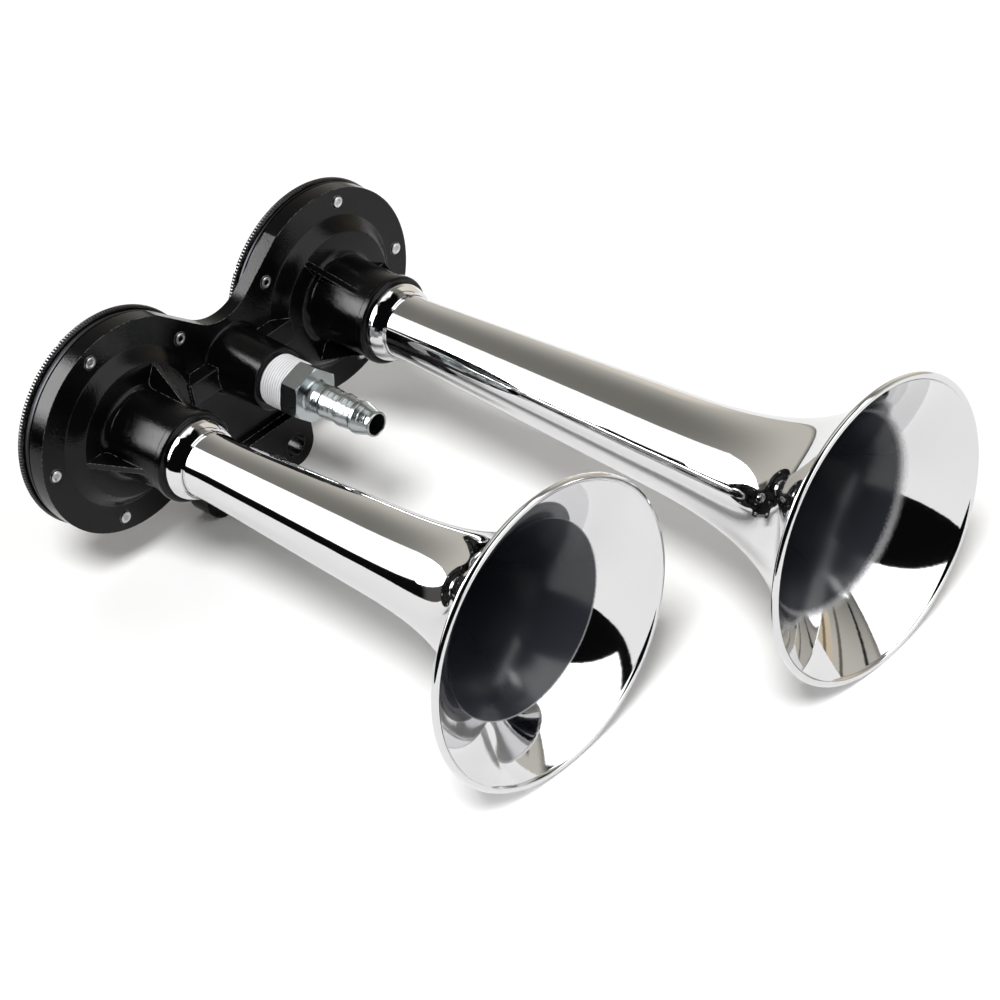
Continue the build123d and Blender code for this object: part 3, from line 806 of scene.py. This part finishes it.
def build_floor(settings):
    """A pale floor that touches the foot's lugs and the longer trumpet's bell; z falls evenly with y."""
    bell_low, bell_y = AXES["right"][1] - BELL_RADIUS, FACE_Y - MOUTH_REACH["right"]
    fall = (bell_low - FOOT_LOW) / -bell_y
    xs = np.array([-settings.floor_left, settings.floor_right, settings.floor_right, -settings.floor_left])
    ys = np.array([-settings.floor_front, -settings.floor_front, settings.floor_back, settings.floor_back])
    points = np.stack([xs, ys, FOOT_LOW - fall * ys - 0.02 * MM], axis=-1)
    mesh = bpy.data.meshes.new("floor")
    fill_mesh(mesh, points, np.array([[0, 1, 2, 3]]), math.radians(30))
    floor = bpy.data.objects.new("floor", mesh)
    bpy.context.scene.collection.objects.link(floor)
    material, shop = new_finish("floor_white")
    seen = shop.ray_is("Is Camera Ray")
    white = shop.blend(seen, colour([settings.floor_white] * 3), colour([settings.floor_seen] * 3))
    shop.end(shop.node("ShaderNodeBsdfDiffuse", None, {"Color": white}))
    mesh.materials.append(material)


def light_room(settings):
    """World light by direction: a dark room, a pale wall, soft boxes in front, behind and above, a lamp.

    In degrees, back_turn goes from straight behind towards +X and front_turn from straight ahead towards
    -X. Each layer, a patch and its colour, is laid over those before it.
    """
    world = bpy.data.worlds.new("studio")
    bpy.context.scene.world = world
    world.use_nodes = True
    world.node_tree.nodes.clear()
    shop = Shop(world.node_tree)
    ray = shop.node("ShaderNodeTexCoord", out="Generated")
    x, y, z = (shop.along(ray, axis) for axis in range(3))
    degrees = 180 / math.pi
    rise = z.maths("ARCSINE", z) * degrees
    back_turn = x.maths("ARCTAN2", x, y) * degrees
    front_turn = x.maths("ARCTAN2", -x, -y) * degrees

    def patch(turn, first, last, low, high, side_soft, low_soft, high_soft):
        """1 inside a patch of directions, falling smoothly to 0 over the soft margins, all in degrees."""
        inside = shop.ramp(turn, first - side_soft, first + side_soft)
        inside = inside * shop.ramp(turn, last - side_soft, last + side_soft, 1.0, 0.0)
        inside = inside * shop.ramp(rise, low - low_soft, low + low_soft)
        return inside * shop.ramp(rise, high - high_soft, high + high_soft, 1.0, 0.0)

    wall = shop.blend(shop.ramp(rise, 2, 52), colour((0.58, 0.555, 0.50)), colour((0.19, 0.185, 0.165)))
    light = colour((0.003, 0.003, 0.0032))
    light = shop.blend(patch(back_turn, -56, 138, -8, 62, 3, 3, 6), light, wall)
    layers = [
        (patch(back_turn, 52, 84, -8, 19, 3, 2, 2), (0.84, 0.77, 0.67)),
        (patch(back_turn, 66, 98, 10, 44, 2, 2, 4), (0.84, 0.79, 0.70)),
        (patch(back_turn, 85, 88, -8, 60, 0.6, 2, 8), (0.05, 0.05, 0.05)),
        (patch(back_turn, 98, 110, -8, 24, 0.6, 2, 0.8), (0.66, 0.56, 0.42)),
        (patch(back_turn, 104, 106, -8, 24, 0.5, 2, 0.8), (0.22, 0.17, 0.11)),
        (patch(back_turn, 114, 116, -8, 40, 0.5, 2, 2), (0.14, 0.12, 0.10)),
        (patch(back_turn, 129, 131, 6, 40, 0.5, 2, 2), (0.02, 0.02, 0.02)),
        (patch(back_turn, -60, -2, -90, 4, 2, 2, 1.0), (0.09, 0.085, 0.08)),
        (patch(back_turn, -70, -22, -90, 8, 3, 2, 0.6), (0.004, 0.004, 0.004)),
        (patch(back_turn, -52, -22, 8.5, 34, 1.0, 0.6, 1.0), (settings.softbox,) * 3),
        (patch(back_turn, 29, 50, 53, 62, 1.0, 1.0, 1.0), (settings.overhead,) * 3),
        (patch(back_turn, -36, 62, 59, 80, 3, 1.5, 5.0), (settings.overhead,) * 3),
        (patch(front_turn, -41, 11, 4.5, 56, 0.6, 0.6, 4.0), (settings.softbox,) * 3),
        (patch(back_turn, 122, 133, 44, 54, 1.5, 1.5, 1.5), (settings.softbox * LAMP_GAIN,) * 3),
    ]
    for inside, rgb in layers:
        light = shop.blend(inside, light, colour(rgb))
    light = shop.blend(shop.ray_is("Is Camera Ray"), light, colour((1, 1, 1)))
    strength = 1.0 - shop.ray_is("Is Diffuse Ray") * settings.held_back
    glow = shop.node("ShaderNodeBackground", None, {"Color": light, "Strength": strength})
    shop.end(glow, "ShaderNodeOutputWorld")


def hang_panel(settings):
    """An upright light panel beside the left chamber that only gloss sees, its near top corner cut away.

    Its corners are given as (share of the way from the near end to the far end, height).
    """
    near, far = np.array(PANEL_ENDS)
    shares = np.array([1.0, 0.06, 0.06, 0.2, 0.3, 1.0])
    heights = np.array([0.078, 0.078, 0.24, 0.35, 0.40, 0.40])
    mesh = bpy.data.meshes.new("light_panel")
    corners = np.column_stack([near + shares[:, None] * (far - near), heights])
    fill_mesh(mesh, corners, np.array([[0, 1, 2, 3, 4, 5]]), math.radians(30))
    panel = bpy.data.objects.new("light_panel", mesh)
    bpy.context.scene.collection.objects.link(panel)
    panel.visible_camera = False
    panel.visible_diffuse = False
    panel.visible_shadow = False
    material, shop = new_finish("panel_light")
    height = shop.along(shop.object_place(), 2)
    middle = shop.ramp(height, *PANEL_RISE) * shop.ramp(height, *PANEL_FALL, 1.0, 0.0)
    strength = settings.panel_edge + middle * (settings.panel - settings.panel_edge)
    shop.end(shop.node("ShaderNodeEmission", None, {"Color": colour((1, 1, 1)), "Strength": strength}))
    mesh.materials.append(material)


def hang_key(settings):
    """The soft key light, high on the left, that gives the floor its shadows; gloss doesn't see it."""
    lamp = bpy.data.lights.new("key", "SUN")
    lamp.energy = settings.key
    lamp.angle = settings.key_width
    key = bpy.data.objects.new("key", lamp)
    bpy.context.scene.collection.objects.link(key)
    turn, rise = settings.key_turn, settings.key_rise
    towards = Vector((-math.sin(turn) * math.cos(rise), -math.cos(turn) * math.cos(rise), math.sin(rise)))
    key.rotation_euler = towards.to_track_quat("Z", "Y").to_euler()
    key.visible_glossy = False


def aim_camera(settings):
    """Camera in front, to the left and above, looking down on the horn."""
    lens = bpy.data.cameras.new("camera")
    lens.lens = settings.lens
    lens.sensor_width = 36.0
    lens.clip_start = 0.01
    camera = bpy.data.objects.new("camera", lens)
    back = CAMERA_RIGHT.cross(CAMERA_UP)
    turn = Matrix((CAMERA_RIGHT, CAMERA_UP, back)).transposed().to_4x4()
    camera.matrix_world = Matrix.Translation(CAMERA_PLACE) @ turn
    scene = bpy.context.scene
    scene.collection.objects.link(camera)
    scene.camera = camera
    scene.view_settings.view_transform = "Standard"


class HORN_OT_manifold(bpy.types.Operator):
    """Dress the die-cast manifold in gloss black paint, with its edges rounded"""

    bl_idname = "horn.manifold"
    bl_label = "Manifold"

    def execute(self, context):
        colours = context.scene.horn_colours
        paint = gloss_paint("manifold_paint", colours.paint, colours.painted_edge_highlight)
        mesh = merged_copy("manifold", CAST_CREASE)
        place_piece("manifold_casting", mesh, paint, "manifold_paint", "manifold")
        return {"FINISHED"}


class HORN_OT_covers(bpy.types.Operator):
    """Dress the two back covers and cut the knurl round their edges"""

    bl_idname = "horn.covers"
    bl_label = "Back covers"

    def execute(self, context):
        colours = context.scene.horn_colours
        paint = gloss_paint("cover_paint", colours.paint, colours.painted_edge_highlight)
        dark_steel = [KNURL_SHADE * part for part in colours.steel]
        edge = bright_steel("knurl_edge", dark_steel, paint_and_shade_name="groove")
        sizes = context.scene.horn_fitting
        for side in SIDES:
            mesh = merged_copy(f"cover_{side}", CAST_CREASE)
            place_piece(f"cover_skin_{side}", mesh, paint, "cover_paint", f"cover_{side}")
            low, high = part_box(f"cover_{side}")
            rim = (high.z - low.z) / 2
            front = FACE_Y - low.y
            low_u, high_u = front - sizes.knurl_start, front - sizes.knurl_end
            steps = sizes.knurl_teeth * STEPS_PER_TOOTH
            r, u, groove = knurl_grid(sizes, low_u, high_u, rim, steps)
            carried = {"groove": groove}
            knurl = turned(f"cover_knurl_{side}", r, u, AXES[side], steps, math.radians(60), carried)
            place_piece(f"cover_knurl_{side}", knurl, edge, "cover_paint")
        return {"FINISHED"}


class HORN_OT_trumpets(bpy.types.Operator):
    """Spin the two chromed trumpets with their flared bells and rolled rims"""

    bl_idname = "horn.trumpets"
    bl_label = "Trumpets"

    def execute(self, context):
        colours = context.scene.horn_colours
        chrome = chrome_plate("trumpet_chrome", colours.chrome, colours.bare)
        for side in SIDES:
            r, u, bare = trumpet_outline(side, context.scene.horn_trumpets)
            carried = {"bare": bare}
            mesh = turned(f"trumpet_{side}_spun", r, u, AXES[side], TRUMPET_STEPS, carried=carried)
            place_piece(f"trumpet_{side}_spun", mesh, chrome, "trumpet_chrome", f"trumpet_{side}")
        return {"FINISHED"}


class HORN_OT_collars(bpy.types.Operator):
    """Turn the two chromed collars that hold the trumpets in their necks"""

    bl_idname = "horn.collars"
    bl_label = "Collars"

    def execute(self, context):
        chrome = chrome_plate("collar_chrome", context.scene.horn_colours.chrome)
        r, u = collar_outline(context.scene.horn_trumpets)
        for side in SIDES:
            mesh = turned(f"collar_{side}_turned", r, u, AXES[side], COLLAR_STEPS)
            place_piece(f"collar_{side}_turned", mesh, chrome, "collar_chrome", f"collar_{side}")
        return {"FINISHED"}


class HORN_OT_fitting(bpy.types.Operator):
    """Make the zinc-plated inlet fitting and the sealing tape wound on its thread"""

    bl_idname = "horn.fitting"
    bl_label = "Inlet fitting and tape"

    def execute(self, context):
        sizes, colours = context.scene.horn_fitting, context.scene.horn_colours
        r, u = fitting_grid(sizes, FITTING_STEPS)
        mesh = turned("hose_barb_turned", r, u, AXES["middle"], FITTING_STEPS, math.radians(24))
        zinc = turned_zinc("barb_zinc", colours.zinc)
        place_piece("hose_barb_turned", mesh, zinc, "barb_zinc", "hose_barb")
        r, u, groove = tape_grid(sizes, FITTING_STEPS)
        carried = {"groove": groove}
        mesh = turned("seal_tape_wound", r, u, AXES["middle"], FITTING_STEPS, math.radians(60), carried)
        film = tape_film("tape_white", colours.tape)
        place_piece("seal_tape_wound", mesh, film, "tape_white", "seal_tape")
        return {"FINISHED"}


class HORN_OT_screws(bpy.types.Operator):
    """Plate the ten cover screws and roll their points, with painted shade in each point's hollow, darkest in
    the two open points nearest the inlet
    """

    bl_idname = "horn.screws"
    bl_label = "Cover screws"

    def execute(self, context):
        colours, sizes = context.scene.horn_colours, context.scene.horn_fitting
        plate = screw_plate("screw_steel", colours.steel, colours.paint)
        point = bright_steel("point_steel", colours.steel, paint_and_shade_name="cup")
        for side in SIDES:
            for number in range(1, 6):
                node = f"cover_screw_{side}_{number}"
                dress_node(node, plate)
                axis = axis_of(node)
                r, u, cup = point_outline(sizes, FACE_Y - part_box(node)[0].y)
                # Painted shade in the point's hollow: full in the two screws nearest the inlet, CUP_SHADE in
                # the rest
                carried = {"cup": cup * (1.0 if abs(axis[0]) < BELL_RADIUS / 2 else CUP_SHADE)}
                name = f"screw_point_{side}_{number}"
                mesh = turned(name, r, u, axis, POINT_STEPS, math.radians(20), carried)
                place_piece(name, mesh, point, "screw_steel")
        return {"FINISHED"}


class HORN_OT_seals(bpy.types.Operator):
    """Finish the gaskets, diaphragms and trumpet seals inside the horn"""

    bl_idname = "horn.seals"
    bl_label = "Gaskets, diaphragms and seals"

    def execute(self, context):
        colours = context.scene.horn_colours
        gasket = dull_rubber("gasket_rubber", colours.rubber)
        seal = dull_rubber("seal_rubber", colours.rubber)
        spring = bright_steel("diaphragm_steel", colours.blued, 0.3)
        for side in SIDES:
            dress_node(f"gasket_{side}", gasket)
            dress_node(f"packing_{side}", gasket)
            dress_node(f"trumpet_seal_{side}", seal)
            dress_node(f"diaphragm_{side}", spring)
        return {"FINISHED"}


class HORN_PT_panel(bpy.types.Panel):
    """Lists the horn's operators"""

    bl_idname = "HORN_PT_panel"
    bl_label = "Air horn"
    bl_space_type = "VIEW_3D"
    bl_region_type = "UI"
    bl_category = "Air horn"

    def draw(self, context):
        for operator in OPERATORS:
            self.layout.operator(operator.bl_idname)
        for group in SIZE_GROUPS:
            settings = getattr(context.scene, group)
            box = self.layout.box()
            for name in settings.bl_rna.properties.keys():
                if name not in {"rna_type", "name"}:
                    box.prop(settings, name)


OPERATORS = (
    HORN_OT_stage,
    HORN_OT_manifold,
    HORN_OT_covers,
    HORN_OT_trumpets,
    HORN_OT_collars,
    HORN_OT_fitting,
    HORN_OT_screws,
    HORN_OT_seals,
)
CLASSES = (*SIZE_GROUPS.values(), *OPERATORS, HORN_PT_panel)


def register():
    for cls in CLASSES:
        bpy.utils.register_class(cls)
    for name, group in SIZE_GROUPS.items():
        setattr(bpy.types.Scene, name, bpy.props.PointerProperty(type=group))


def unregister():
    for name in SIZE_GROUPS:
        delattr(bpy.types.Scene, name)
    for cls in reversed(CLASSES):
        bpy.utils.unregister_class(cls)


def main():
    register()
    for operator in OPERATORS:
        group, name = operator.bl_idname.split(".")
        getattr(getattr(bpy.ops, group), name)()


if __name__ == "__main__":
    main()
